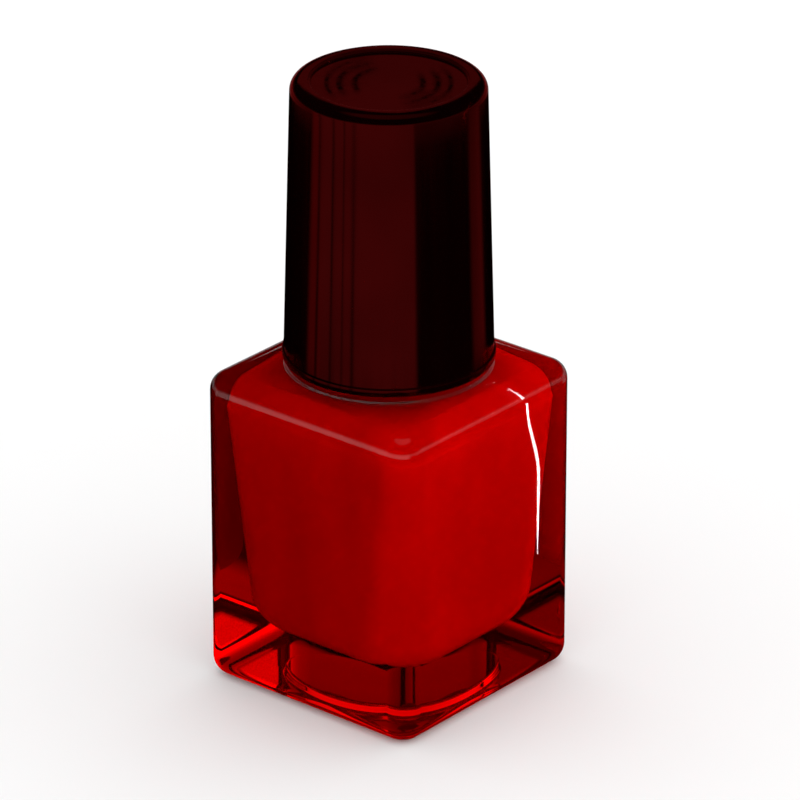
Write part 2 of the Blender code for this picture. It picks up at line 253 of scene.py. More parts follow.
def choose(tree, condition, otherwise, then):
    """The value then where the condition is 1, and otherwise where it is 0."""
    made = tree.nodes.new("ShaderNodeMix")
    made.data_type = "FLOAT"
    feed(tree, condition, made.inputs["Factor"])
    feed(tree, otherwise, made.inputs["A"])
    feed(tree, then, made.inputs["B"])
    return made.outputs["Result"]


# ---------------------------------------------------------------- materials


def new_material(name, colour, roughness):
    """A Principled material, its node tree and its shader."""
    made = bpy.data.materials.new(name)
    made.use_nodes = True
    tree = made.node_tree
    shader = tree.nodes["Principled BSDF"]
    shader.inputs["Base Color"].default_value = (*colour, 1.0)
    shader.inputs["Roughness"].default_value = roughness
    return made, tree, shader


def noise(tree, scale, detail=3.0, stretch=(1.0, 1.0, 1.0)):
    """Noise in object space, so that it stays with the piece. The scale is in waves per metre."""
    turn = tree.nodes.new("ShaderNodeMapping")
    turn.inputs["Scale"].default_value = stretch
    made = tree.nodes.new("ShaderNodeTexNoise")
    made.inputs["Scale"].default_value = scale
    made.inputs["Detail"].default_value = detail
    tree.links.new(coordinates(tree, "Object"), turn.inputs["Vector"])
    tree.links.new(turn.outputs["Vector"], made.inputs["Vector"])
    return made.outputs["Fac"]


def colour_between(tree, shader, share, first, second):
    """Colours the surface from first, where share is 0, to second, where it is 1."""
    made = tree.nodes.new("ShaderNodeMix")
    made.data_type = "RGBA"
    made.inputs["A"].default_value = (*first, 1.0)
    made.inputs["B"].default_value = (*second, 1.0)
    tree.links.new(share, made.inputs["Factor"])
    tree.links.new(made.outputs["Result"], shader.inputs["Base Color"])


def mottle(tree, shader, pattern, first, second):
    """Colours the surface from first to second by a noise pattern."""
    colour_between(tree, shader, remap(tree, pattern, 0.0, 1.0), first, second)


def bump(tree, shader, height, distance, strength=1.0):
    made = tree.nodes.new("ShaderNodeBump")
    made.inputs["Distance"].default_value = distance
    made.inputs["Strength"].default_value = strength
    tree.links.new(height, made.inputs["Height"])
    tree.links.new(made.outputs["Normal"], shader.inputs["Normal"])


def red_glass():
    """Ruby glass: clear at the surface and tinted by its depth, with the faint ripple of a mould."""
    made, tree, shader = new_material("ruby_glass", (1.0, 1.0, 1.0), 0.0)
    shader.inputs["Transmission Weight"].default_value = 1.0
    shader.inputs["IOR"].default_value = 1.5
    haze = noise(tree, scale=400.0)
    tree.links.new(remap(tree, haze, 0.0, 0.03), shader.inputs["Roughness"])
    ripple = noise(tree, scale=90.0, detail=1.0)
    bump(tree, shader, ripple, distance=0.02 * MM, strength=0.6)
    absorb = tree.nodes.new("ShaderNodeVolumeAbsorption")
    absorb.inputs["Color"].default_value = (0.947, 0.0, 0.0, 1.0)
    absorb.inputs["Density"].default_value = 900.0
    tree.links.new(absorb.outputs["Volume"], tree.nodes["Material Output"].inputs["Volume"])
    return made


def red_lacquer(name, red, specular, roughness):
    """Creme lacquer, with slow swirls of slightly deeper red."""
    made, tree, shader = new_material(name, (red, 0.004, 0.005), roughness)
    shader.inputs["Specular IOR Level"].default_value = specular
    swirl = noise(tree, scale=110.0, detail=4.0, stretch=(1.0, 1.0, 0.45))
    mottle(tree, shader, swirl, (0.9 * red, 0.002, 0.003), (1.1 * red, 0.005, 0.006))
    return made


def maroon_cap():
    """Metallised dark maroon with fine upright drawing marks and cloudy depth."""
    made, tree, shader = new_material("maroon_cap", (0.05, 0.001, 0.001), 0.1)
    shader.inputs["Metallic"].default_value = 0.96
    shader.inputs["Specular IOR Level"].default_value = 0.2
    shader.inputs["Specular Tint"].default_value = (0.9, 0.35, 0.35, 1.0)
    cloud = noise(tree, scale=60.0, detail=2.0)
    mottle(tree, shader, cloud, (0.034, 0.0008, 0.0008), (0.047, 0.0012, 0.0012))
    marks = noise(tree, scale=900.0, stretch=(1.0, 1.0, 0.02))
    tree.links.new(remap(tree, marks, 0.07, 0.16), shader.inputs["Roughness"])
    bump(tree, shader, marks, distance=0.004 * MM, strength=0.5)
    return made


def moulded_black():
    """Black polypropylene with the fine matt texture of a mould."""
    made, tree, shader = new_material("moulded_black", (0.012, 0.011, 0.011), 0.4)
    cloud = noise(tree, scale=120.0, detail=2.0)
    mottle(tree, shader, cloud, (0.010, 0.009, 0.009), (0.017, 0.015, 0.015))
    grain = noise(tree, scale=2500.0, detail=2.0)
    tree.links.new(remap(tree, grain, 0.3, 0.5), shader.inputs["Roughness"])
    bump(tree, shader, grain, distance=0.01 * MM, strength=0.6)
    return made


def liner_foam():
    made, tree, shader = new_material("liner_foam", (0.78, 0.76, 0.72), 0.7)
    cells = noise(tree, scale=3000.0, detail=4.0)
    mottle(tree, shader, cells, (0.66, 0.64, 0.6), (0.82, 0.8, 0.76))
    bump(tree, shader, cells, distance=0.05 * MM)
    return made


def nylon():
    """Dark nylon filaments, wet and stained with lacquer towards their tips."""
    made, tree, shader = new_material("nylon_bristles", (0.03, 0.02, 0.02), 0.35)
    height = components(tree, coordinates(tree, "Object"))["Z"]
    ragged = calculate(tree, "MULTIPLY_ADD", noise(tree, scale=1500.0, detail=2.0), 3.0 * MM, height)
    stain_top = CARRIED_HIGH[2]
    wet = remap(tree, ragged, 1.0, 0.0, stain_top - 1.0 * MM, stain_top + 4.0 * MM)
    colour_between(tree, shader, wet, (0.035, 0.022, 0.02), (0.42, 0.004, 0.005))
    return made


def steel():
    made, tree, shader = new_material("polished_steel", (0.6, 0.6, 0.61), 0.15)
    shader.inputs["Metallic"].default_value = 1.0
    scuffs = noise(tree, scale=1400.0, detail=4.0)
    tree.links.new(remap(tree, scuffs, 0.1, 0.28), shader.inputs["Roughness"])
    bump(tree, shader, scuffs, distance=0.004 * MM, strength=0.5)
    return made


def paper():
    made, tree, shader = new_material("label_paper", (0.75, 0.73, 0.7), 0.7)
    fibre = noise(tree, scale=1800.0, detail=5.0)
    mottle(tree, shader, fibre, (0.68, 0.66, 0.62), (0.8, 0.78, 0.75))
    bump(tree, shader, fibre, distance=0.02 * MM)
    return made


# ---------------------------------------------------------------- screw threads


THREAD_LEAD = 25.4 * MM / 12.0
THREAD_WIDTH = 1.1 * MM
THREAD_FADE = 0.12  # turns over which either end of a thread fades out
THREAD_EDGE = 1.15  # where the flank ends, and how wide it is, in half widths of the thread
THREAD_FLANK = 0.6


def thread_rise(angle, z, start_z, turns):
    """How far a helical thread stands up at this angle and height, from 0 to 1."""
    best = 0.0
    for whole in range(-3, int(turns) + 2):
        turn = angle / (2 * math.pi) + whole
        if not 0.0 <= turn <= turns:
            continue
        fade = min(1.0, turn / THREAD_FADE, (turns - turn) / THREAD_FADE)
        away = abs(z - start_z - THREAD_LEAD * turn) / (THREAD_WIDTH / 2)
        crest = max(0.0, min(1.0, (THREAD_EDGE - away) / THREAD_FLANK))
        best = max(best, fade * crest * crest * (3 - 2 * crest))
    return best


def threaded_ring(z, radius, height, start_z, turns, steps=QUARTER_STEPS, first_turn=0.0):
    """A circle whose radius grows by height, or shrinks where height is negative, over a thread."""
    points = []
    for x, y, level in circle(z, radius, steps):
        angle = math.atan2(y, x) % (2 * math.pi)
        local = (angle - 2 * math.pi * first_turn) % (2 * math.pi)
        grow = 1.0 + height / radius * thread_rise(local, level, start_z, turns)
        points.append((x * grow, y * grow, level))
    return points


# ---------------------------------------------------------------- glass and lacquer


BODY_HALF = 15.9 * MM
CORNER_ROUND = 3.0 * MM
BASE_ROUND = 2.4 * MM
PUNT_R = 9.0 * MM
PUNT_DEPTH = 1.2 * MM
PUNT_ROUND = 0.4 * MM

SHOULDER_ROUND = 2.3 * MM
SHOULDER_Z = 39.8 * MM
SHOULDER_RISE = 0.5 * MM
SHOULDER_STEPS = 5
COLLAR_R = 12.4 * MM
COLLAR_TOP_Z = 41.1 * MM
COLLAR_ROUND = 0.4 * MM
COLLAR_FOOT_SPREAD = 0.3 * MM
COLLAR_FOOT_RISE = 0.25 * MM
COLLAR_FOOT_STEPS = 3

ROOM_FLOOR_Z = 7.0 * MM
ROOM_LOW_HALF = 11.6 * MM
ROOM_HIGH_HALF = 13.7 * MM
ROOM_HIGH_Z = 35.4 * MM
ROOM_ROOF_Z = 38.0 * MM
ROOM_CORNER_LOW = 4.4 * MM
ROOM_CORNER_HIGH = 3.2 * MM
ROOM_CORNER_LEAST = 2.0 * MM
ROOM_FLOOR_ROUND = 4.6 * MM
ROOM_DIP = 0.1 * MM
ROOM_DIP_R = 0.5 * MM
FLARE_STEPS = 8
ROOF_STEPS = 10
WALL_STEPS = 9
FLOOR_STEPS = 12

NECK_R = 5.75 * MM
NECK_FOOT_ROUND = 0.6 * MM
NECK_THREAD_HEIGHT = 0.75 * MM
NECK_THREAD_Z = 45.4 * MM
NECK_THREAD_TURNS = 1.7
NECK_THREAD_ROWS = 52
BORE_R = 3.7 * MM
BORE_FLARE = 5.0 * MM
BORE_FLARE_Z = 40.6 * MM
RIM_Z = GLASS_HIGH[2]
RIM_ROUND = 0.5 * MM

LACQUER_OVERLAP = 0.03 * MM  # the lacquer wets the glass, so its skin lies just inside the wall
LACQUER_HIGHEST_Z = ROOM_ROOF_Z + 0.5 * MM
LABEL_EDGE = 0.06 * MM
BALL_SUBDIVISIONS = 4


def base_rings():
    """Rings from the middle of the base, out over its round recess and up its rounded edge."""
    profile = [(PUNT_DEPTH, 0.02 * PUNT_R), (PUNT_DEPTH, 0.5 * PUNT_R)]
    profile += rounded(SMALL_EDGE_STEPS, 90, 0, PUNT_DEPTH, PUNT_R, -PUNT_ROUND, -PUNT_ROUND)
    profile += rounded(SMALL_EDGE_STEPS, 0, 90, 0.0, PUNT_R, PUNT_ROUND, PUNT_ROUND)
    rings = circles(profile)
    for angle in arc(ROUND_STEPS, 0, 90):
        inset = BASE_ROUND * (1 - math.sin(angle))
        rings.append(section(BASE_ROUND * (1 - math.cos(angle)), BODY_HALF - inset, CORNER_ROUND - inset))
    return rings


def shoulder_rings():
    """Rings over the rounded top edge and the nearly flat shoulder, to the round foot of the collar."""
    rings = []
    for angle in arc(ROUND_STEPS, 0, 90):
        inset = SHOULDER_ROUND * (1 - math.cos(angle))
        height = SHOULDER_Z - SHOULDER_ROUND * (1 - math.sin(angle))
        rings.append(section(height, BODY_HALF - inset, CORNER_ROUND - inset))
    foot_z = SHOULDER_Z + SHOULDER_RISE
    square = section(SHOULDER_Z, BODY_HALF - SHOULDER_ROUND, CORNER_ROUND - SHOULDER_ROUND)
    round_foot = circle(foot_z, COLLAR_R + COLLAR_FOOT_SPREAD)
    for step in range(1, SHOULDER_STEPS):
        share = step / SHOULDER_STEPS
        lift = SHOULDER_RISE * share * share
        rings.append([
            (mix(a[0], b[0], share), mix(a[1], b[1], share), SHOULDER_Z + lift)
            for a, b in zip(square, round_foot)
        ])
    rings.append(round_foot)
    foot = rounded(COLLAR_FOOT_STEPS, 90, 0, foot_z, COLLAR_R, COLLAR_FOOT_RISE, COLLAR_FOOT_SPREAD)
    return rings + circles(foot[1:])


def neck_rings():
    """Rings over the collar, up the threaded neck, over the rim and into the bore."""
    foot = rounded(EDGE_STEPS, 0, 90, COLLAR_TOP_Z, COLLAR_R, -COLLAR_ROUND, -COLLAR_ROUND)
    foot += rounded(EDGE_STEPS, 90, 0, COLLAR_TOP_Z, NECK_R, NECK_FOOT_ROUND, NECK_FOOT_ROUND)
    rings = circles(foot)
    low = NECK_THREAD_Z - THREAD_WIDTH
    high = NECK_THREAD_Z + THREAD_LEAD * NECK_THREAD_TURNS + THREAD_WIDTH
    for row in range(NECK_THREAD_ROWS + 1):
        z = mix(low, high, row / NECK_THREAD_ROWS)
        rings.append(threaded_ring(z, NECK_R, NECK_THREAD_HEIGHT, NECK_THREAD_Z, NECK_THREAD_TURNS))
    rim = rounded(EDGE_STEPS, 0, 90, RIM_Z, NECK_R, -RIM_ROUND, -RIM_ROUND)
    rim += rounded(EDGE_STEPS, 90, 0, RIM_Z, BORE_R, -RIM_ROUND, RIM_ROUND)
    return rings + circles(rim)


def room_half(z):
    """Half the room's width between its rounded floor and its roof."""
    low = ROOM_FLOOR_Z + ROOM_FLOOR_ROUND
    share = max(0.0, min(1.0, (z - low) / (ROOM_HIGH_Z - low)))
    return mix(ROOM_LOW_HALF, ROOM_HIGH_HALF, share)


def room_rings(grow=0.0):
    """Rings of the lacquer's room from the bore down to the floor, grown into the glass by grow."""
    rings = [circle(BORE_FLARE_Z, BORE_R + grow)]
    for step in range(1, FLARE_STEPS + 1):
        share = step / FLARE_STEPS
        swing = math.radians(90) * share
        radius = BORE_R + BORE_FLARE * (1 - math.cos(swing))
        z = mix(BORE_FLARE_Z, ROOM_ROOF_Z, math.sin(swing)) + grow
        rings.append(circle(z, radius + grow * (1 - share)))
    roof_r = BORE_R + BORE_FLARE
    fall = ROOM_ROOF_Z - ROOM_HIGH_Z
    for step in range(1, ROOF_STEPS + 1):
        swing = math.radians(90) * step / ROOF_STEPS
        z = ROOM_HIGH_Z + (fall + grow) * math.cos(swing)
        half = mix(roof_r, ROOM_HIGH_HALF + grow, math.sin(swing))
        corner = mix(roof_r, ROOM_CORNER_HIGH, math.sin(swing) ** 2)
        rings.append(section(z, half, min(corner, half)))
    low = ROOM_FLOOR_Z + ROOM_FLOOR_ROUND
    for step in range(1, WALL_STEPS):
        z = mix(ROOM_HIGH_Z, low, step / WALL_STEPS)
        corner = mix(ROOM_CORNER_HIGH, ROOM_CORNER_LOW, step / WALL_STEPS)
        rings.append(section(z, room_half(z) + grow, corner))
    for angle in arc(FLOOR_STEPS, 90, 0):
        shrink = ROOM_FLOOR_ROUND * (1 - math.sin(angle))
        rings.append(section(
            ROOM_FLOOR_Z - grow + ROOM_FLOOR_ROUND * (1 - math.cos(angle)),
            ROOM_LOW_HALF + grow - shrink,
            max(ROOM_CORNER_LOW - shrink / 2, ROOM_CORNER_LEAST),
        ))
    rings.append(circle(ROOM_FLOOR_Z - grow + ROOM_DIP, ROOM_DIP_R))
    return rings


def make_glass(look):
    shape = loft(base_rings() + shoulder_rings() + neck_rings() + room_rings())
    made = piece("bottle_glass", shape, look, "bottle", "red_glass", "glass_bottle")
    flat_faces = made.modifiers.new("flat_faces", "WEIGHTED_NORMAL")
    flat_faces.keep_sharp = True
    return made


def make_lacquer(look):
    """Lacquer that wets the whole room, up to a level just under the bore."""
    rings = [ring for ring in room_rings(LACQUER_OVERLAP) if ring[0][2] < LACQUER_HIGHEST_Z]
    rings.reverse()
    return piece("lacquer_fill", loft(rings), look, "bottle", "red_lacquer", "lacquer")


def make_base_label(look):
    radius = (LABEL_HIGH[0] - LABEL_LOW[0]) / 2
    low, high, edge = LABEL_LOW[2], LABEL_HIGH[2], LABEL_EDGE
    profile = [(low, radius - edge), (low + edge, radius), (high - edge, radius), (high, radius - edge)]
    return piece("blank_base_label", loft(circles(profile)), look, "bottle", "label_paper", "base_label")


def make_ball(node, body, look):
    low, high = (Vector(corner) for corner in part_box(node))
    middle = (low + high) / 2
    shape = bmesh.new()
    bmesh.ops.create_icosphere(shape, subdivisions=BALL_SUBDIVISIONS, radius=(high.z - low.z) / 2)
    bmesh.ops.translate(shape, verts=shape.verts, vec=middle)
    return piece(f"{node}_steel", shape, look, body, "steel", node)


# ---------------------------------------------------------------- overcap


POINT_R = 0.3 * MM  # the small flat at the middle of a turned piece's end

CAP_FOOT_R = 12.5 * MM
CAP_TOP_R = 11.55 * MM
CAP_WALL = 1.4 * MM
CAP_WALL_STEPS = 12
CAP_CROWN = 1.6 * MM
CAP_FOOT_CHAMFER = 0.2 * MM
CAP_LIP_HEIGHT = 1.1 * MM
CAP_LIP_STEP = 0.2 * MM
CAP_LIP_ROUND = 0.3 * MM
CAP_LIP_FADE = 0.1 * MM
CAP_TOP_ROUND = 1.3 * MM
CAP_DISH_R = 9.0 * MM
CAP_DISH_DEPTH = 0.4 * MM
CAP_DISH_EDGE = 0.1 * MM
CAP_DISH_STEPS = 6
CAP_DISH_SAG = ((0.5, 0.05 * MM), (0.02, 0.08 * MM))  # shares of the dish's radius, and its sag there
CAP_CEILING_Z = CAP_HIGH[2] - CAP_DISH_DEPTH - CAP_CROWN

SLEEVE_R = 8.95 * MM
SLEEVE_OUTER_R = 9.9 * MM
SLEEVE_CORNER = 0.3 * MM
SLEEVE_FOOT_Z = 43.4 * MM
SLEEVE_STEPS = 6
WEB_COUNT = 6
WEB_THICK = 0.9 * MM
WEB_OVERLAP = 0.3 * MM
WEB_TURN = 0.25


def cap_wall_r(z):
    share = (z - CAP_LOW[2]) / (CAP_HIGH[2] - CAP_LOW[2])
    return mix(CAP_FOOT_R, CAP_TOP_R, share)


def hollow_profile():
    """Height and radius from the middle of the crown's underside, round the sleeve, to the foot."""
    ceiling, foot, corner = CAP_CEILING_Z, CAP_LOW[2], SLEEVE_CORNER
    profile = [(ceiling, POINT_R), (ceiling, SLEEVE_R - corner), (ceiling - corner, SLEEVE_R)]
    shares = [step / SLEEVE_STEPS for step in range(SLEEVE_STEPS + 1)]
    profile += [(mix(ceiling, SLEEVE_FOOT_Z, share), SLEEVE_R) for share in shares[1:-1]]
    rim = (SLEEVE_OUTER_R - SLEEVE_R) / 2
    profile += rounded(SLEEVE_STEPS, 0, 180, SLEEVE_FOOT_Z, SLEEVE_R, rim, rim)
    profile += [(mix(SLEEVE_FOOT_Z, ceiling, share), SLEEVE_OUTER_R) for share in shares[1:]]
    for share in shares:
        wall_r = cap_wall_r(mix(ceiling, foot, share)) - CAP_WALL
        profile.append((mix(ceiling, foot + CAP_FOOT_CHAMFER, share), wall_r))
    profile.append((foot, CAP_FOOT_R - CAP_WALL + CAP_FOOT_CHAMFER))
    return profile


def outer_profile():
    """Height and radius from the foot's lip, up the outside, to the middle of the dished top."""
    foot, top = CAP_LOW[2], CAP_HIGH[2]
    lip_top = foot + CAP_LIP_HEIGHT
    lip_r = cap_wall_r(lip_top) + CAP_LIP_STEP
    profile = rounded(EDGE_STEPS, 90, 0, foot, lip_r, CAP_LIP_ROUND, -CAP_LIP_ROUND)
    profile += rounded(EDGE_STEPS, 0, 90, lip_top, lip_r, -CAP_LIP_STEP, -CAP_LIP_STEP)
    round_z = top - CAP_TOP_ROUND
    for step in range(CAP_WALL_STEPS):
        z = mix(lip_top + CAP_LIP_FADE, round_z, step / CAP_WALL_STEPS)
        profile.append((z, cap_wall_r(z)))
    profile += rounded(ROUND_STEPS, 0, 90, top, cap_wall_r(round_z), -CAP_TOP_ROUND, -CAP_TOP_ROUND)
    dish_r = CAP_DISH_R + CAP_DISH_EDGE
    profile += rounded(CAP_DISH_STEPS, 90, 0, top, dish_r, -CAP_DISH_DEPTH, CAP_DISH_DEPTH)
    profile += [(top - CAP_DISH_DEPTH - sag, share * CAP_DISH_R) for share, sag in CAP_DISH_SAG]
    return profile


def make_overcap(look):
    """A turned shell with a sleeve inside it, and webs that join the two."""
    shape = loft(circles(hollow_profile() + outer_profile(), CAP_QUARTER_STEPS))
    made = piece("overcap_shell", shape, look, "cap", "maroon_plastic", "overcap")
    web_top = CAP_CEILING_Z + WEB_OVERLAP
    web_foot = SLEEVE_FOOT_Z + CAP_WALL
    near = SLEEVE_OUTER_R - WEB_OVERLAP
    far = cap_wall_r(web_top) - CAP_WALL + WEB_OVERLAP
    outline = ((near, -1), (far, -1), (far, 1), (near, 1))
    for index in range(WEB_COUNT):
        angle = 2 * math.pi * (index + WEB_TURN) / WEB_COUNT
        along = Vector((math.cos(angle), math.sin(angle), 0.0))
        across = Vector((-along.y, along.x, 0.0)) * WEB_THICK / 2
        rings = [
            [along * reach + across * side + Vector((0, 0, z)) for reach, side in outline]
            for z in (web_foot, web_top)
        ]
        unite(made, loft(rings))
    return made


# ---------------------------------------------------------------- inner cap, liner and stem


HEAD_R = 2.4 * MM
HEAD_HEIGHT = 4.2 * MM
HEAD_GAP = 0.05 * MM

INNER_R = 8.3 * MM
INNER_EDGE = 0.35 * MM
INNER_BORE_R = 6.8 * MM
INNER_CEILING_LIFT = 0.25 * MM
INNER_SOCKET_LIFT = 0.2 * MM
INNER_THREAD_HEIGHT = 0.8 * MM
INNER_THREAD_TURNS = 1.6
INNER_THREAD_TURNS_BELOW = 0.9
INNER_THREAD_ROWS = 48
INNER_RIB = 0.33 * MM
INNER_RIB_COUNT = 36
INNER_RIB_MARGIN = 3  # the plain band beyond the ribs and their rise, in units of INNER_EDGE
INNER_RIB_FADE = 1.5
INNER_RIB_SHARES = (0.0, 0.35, 0.75, 1.0)

LINER_HOLE_R = 2.0 * MM
LINER_EDGE = 0.12 * MM
LINER_RIM_GAP = 0.02 * MM
LINER_SWELL = 0.2 * MM

FLANGE_HEIGHT = 1.0 * MM
STEM_TOP_R = 1.8 * MM
STEM_TIP_R = 1.5 * MM
STEM_EDGE = 0.15 * MM
STEM_FILLET = 0.18 * MM  # small enough to clear the liner's hole
STEM_SWELLS = ((3.2 * MM, 0.0), (3.5 * MM, 0.1 * MM), (12.0 * MM, 0.15 * MM))  # height, and how much wider
SOCKET_R = 1.25 * MM
SOCKET_DEPTH = 4.0 * MM
SOCKET_CHAMFER = 0.1 * MM
SOCKET_LIP_STEPS = 8


def ribbed_ring(z, radius, rib, steps):
    points = []
    for x, y, level in circle(z, radius, steps):
        wave = 0.5 + 0.5 * math.cos(INNER_RIB_COUNT * math.atan2(y, x))
        grow = 1.0 + rib / radius * wave ** 1.5
        points.append((x * grow, y * grow, level))
    return points


def make_inner_cap(look):
    """The closure: ribs outside, and inside it a thread, a ceiling and a socket for the brush."""
    steps, edge = INNER_QUARTER_STEPS, INNER_EDGE
    foot, top = INNER_LOW[2], INNER_HIGH[2]
    ceiling = STEM_HIGH[2] - HEAD_HEIGHT + INNER_CEILING_LIFT
    socket_top = STEM_HIGH[2] + INNER_SOCKET_LIFT
    rings = circles([
        (socket_top, POINT_R), (socket_top, HEAD_R + HEAD_GAP), (ceiling, HEAD_R + HEAD_GAP),
        (ceiling, INNER_BORE_R - edge), (ceiling - edge, INNER_BORE_R),
    ], steps)
    start = NECK_THREAD_Z + THREAD_LEAD * (0.5 - INNER_THREAD_TURNS_BELOW)
    low = max(start - THREAD_WIDTH, foot + 2 * edge)
    high = start + THREAD_LEAD * INNER_THREAD_TURNS + THREAD_WIDTH
    for row in range(INNER_THREAD_ROWS + 1):
        rings.append(threaded_ring(
            mix(high, low, row / INNER_THREAD_ROWS), INNER_BORE_R, -INNER_THREAD_HEIGHT, start,
            INNER_THREAD_TURNS, steps, -INNER_THREAD_TURNS_BELOW,
        ))
    lifts = [edge * (1 - math.sin(angle)) for angle in arc(SMALL_EDGE_STEPS, 90, 0)]
    rings += circles([(foot + lift, INNER_BORE_R + lift) for lift in lifts], steps)
    rings += circles(rounded(SMALL_EDGE_STEPS, 90, 0, foot, INNER_R, edge, -edge), steps)
    rise = [(share, (INNER_RIB_MARGIN + INNER_RIB_FADE * share) * edge) for share in INNER_RIB_SHARES]
    ribs = [(foot + inset, share) for share, inset in rise]
    ribs += [(top - inset, share) for share, inset in reversed(rise)]
    rings += [ribbed_ring(z, INNER_R, share * INNER_RIB, steps) for z, share in ribs]
    rings += circles(rounded(SMALL_EDGE_STEPS, 0, 90, top, INNER_R, -edge, -edge), steps)
    rings.append(circle(top, POINT_R, steps))
    return piece("inner_cap_closure", loft(rings), look, "cap", "black_plastic", "inner_cap")


def make_seal_liner(look):
    """A foam ring between the neck's rim and the flange of the stem."""
    hole, edge = LINER_HOLE_R, LINER_EDGE
    outer = (LINER_HIGH[0] - LINER_LOW[0]) / 2
    low, high = RIM_Z + LINER_RIM_GAP, LINER_HIGH[2] + LINER_SWELL
    rings = circles([
        (low, hole + edge), (low, outer - edge), (low + edge, outer), (high - edge, outer),
        (high, outer - edge), (high, hole + edge), (high - edge, hole), (low + edge, hole),
    ])
    return piece("seal_liner_foam", ring_loft(rings), look, "liner", "liner_foam", "seal_liner")


def make_brush_stem(look):
    """A rod with a flange and head above, and a socket with a rounded mouth below."""
    edge = STEM_EDGE
    tip, head_top = STEM_LOW[2], STEM_HIGH[2]
    socket_top = tip + SOCKET_DEPTH
    flange_r = (STEM_HIGH[0] - STEM_LOW[0]) / 2
    flange_top = head_top - HEAD_HEIGHT
    flange_low = flange_top - FLANGE_HEIGHT
    profile = [
        (socket_top, POINT_R),
        (socket_top, SOCKET_R - SOCKET_CHAMFER),
        (socket_top - SOCKET_CHAMFER, SOCKET_R),
    ]
    lip = (STEM_TIP_R - SOCKET_R) / 2
    profile += rounded(SOCKET_LIP_STEPS, 0, 180, tip, SOCKET_R, lip, lip)
    profile += [(tip + height, STEM_TIP_R + wider) for height, wider in STEM_SWELLS]
    profile += rounded(EDGE_STEPS, 0, 90, flange_low, STEM_TOP_R, -STEM_FILLET, STEM_FILLET)
    profile += [
        (flange_low, flange_r - edge),
        (flange_low + edge, flange_r),
        (flange_top - edge, flange_r),
        (flange_top, flange_r - edge),
        (flange_top, HEAD_R + edge),
        (flange_top + edge, HEAD_R),
        (head_top - 2 * edge, HEAD_R),
        (head_top, HEAD_R - 2 * edge),
        (head_top, POINT_R),
    ]
    return piece("brush_stem_rod", loft(circles(profile)), look, "cap", "black_plastic", "brush_stem")


# ---------------------------------------------------------------- brush


FLEX_Z = 23.5 * MM
TUFT_BASE_R = 1.05 * MM
TUFT_SWELL = 0.5
TUFT_SWELL_END = 0.95
TUFT_SWELL_POWER = 0.8
TUFT_CLOSES_FROM = 0.7
TUFT_CLOSES_BY = 0.45
TUFT_LENGTH = FLEX_Z - TUFT_LOW[2]
TUFT_OVERLAP = 1.2 * MM

FILAMENT_RINGS = 9
FILAMENT_R = 0.055 * MM
FILAMENT_STEPS = 14
FILAMENT_SIDES = 5
FILAMENT_TIP = 0.45
FILAMENT_LEAN = 0.12 * MM
FILAMENT_ANGLE_SPREAD = 0.5
OUTER_SHORTER = 0.07
UNEVEN_SHORTER = 0.03

ROOT_LIFT = 1.0 * MM
ROOT_EDGE = 0.1 * MM
ROOT_FOLD = 0.9 * MM
ROOT_FOLD_STEPS = 8
STAPLE_LIFT = 0.25 * MM
STAPLE_EDGE = 0.08 * MM

COAT_THICK = 0.14 * MM
COAT_DROP = 0.35 * MM
COAT_ROWS = 26
COAT_TIP_SHARE = 0.13
COAT_TIP_LEAST = 0.12
COAT_THIN_FROM = 0.8
COAT_THIN_BY = 0.16
COAT_RIPPLE = 0.018
COAT_EDGE_FROM = 0.85
COAT_EDGE_WAVE = 0.5 * MM


def tuft_spread(share):
    """How wide the tuft is at this share of its free length."""
    swell = 1.0 + TUFT_SWELL * math.sin(math.pi * min(share, TUFT_SWELL_END)) ** TUFT_SWELL_POWER
    closing = max(0.0, share - TUFT_CLOSES_FROM) / (1 - TUFT_CLOSES_FROM)
    return swell * (1.0 - TUFT_CLOSES_BY * closing ** 2)


def add_filament(shape, points):
    """A tapered tube along the points, closed at both ends."""
    loops = []
    last = len(points) - 1
    for index, point in enumerate(points):
        along = (points[min(index + 1, last)] - points[max(index - 1, 0)]).normalized()
        across = along.cross(Vector((0.3, 1.0, 0.1))).normalized()
        up = along.cross(across)
        radius = FILAMENT_R * (FILAMENT_TIP if index == last else 1.0)
        loops.append([
            shape.verts.new(point + across * radius * math.cos(angle) + up * radius * math.sin(angle))
            for angle in (2 * math.pi * side / FILAMENT_SIDES for side in range(FILAMENT_SIDES))
        ])
    for near, far in zip(loops, loops[1:]):
        for side in range(FILAMENT_SIDES):
            after = (side + 1) % FILAMENT_SIDES
            shape.faces.new((near[side], near[after], far[after], far[side]))
    shape.faces.new(list(reversed(loops[0])))
    shape.faces.new(loops[-1])


def make_filaments(look):
    """The tuft as single filaments that leave the socket together, swell and close to a rounded tip."""
    draw = random.Random(7)
    shape = bmesh.new()
    top = ROOT_LOW[2] + TUFT_OVERLAP
    for ring in range(FILAMENT_RINGS):
        count = max(1, round(2 * math.pi * ring))
        for index in range(count):
            angle = 2 * math.pi * (index + draw.random() * FILAMENT_ANGLE_SPREAD) / count
            share_out = ring / (FILAMENT_RINGS - 1)
            shorter = OUTER_SHORTER * share_out * share_out
            length = TUFT_LENGTH * (1.0 - shorter - UNEVEN_SHORTER * draw.random())
            lean = (draw.random() - 0.5) * FILAMENT_LEAN
            points = []
            for step in range(FILAMENT_STEPS + 1):
                down = step / FILAMENT_STEPS
                z = mix(top, FLEX_Z - length, down)
                below = max(0.0, (FLEX_Z - z) / TUFT_LENGTH)
                reach = TUFT_BASE_R * share_out * tuft_spread(below) + lean * down
                points.append(Vector((reach * math.cos(angle), reach * math.sin(angle), z)))
            add_filament(shape, points)
    bmesh.ops.recalc_face_normals(shape, faces=shape.faces)
    made = piece("bristle_filaments", shape, look, "", "nylon_bristle")
    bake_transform(made)
    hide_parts("bristle_tuft")
    return made


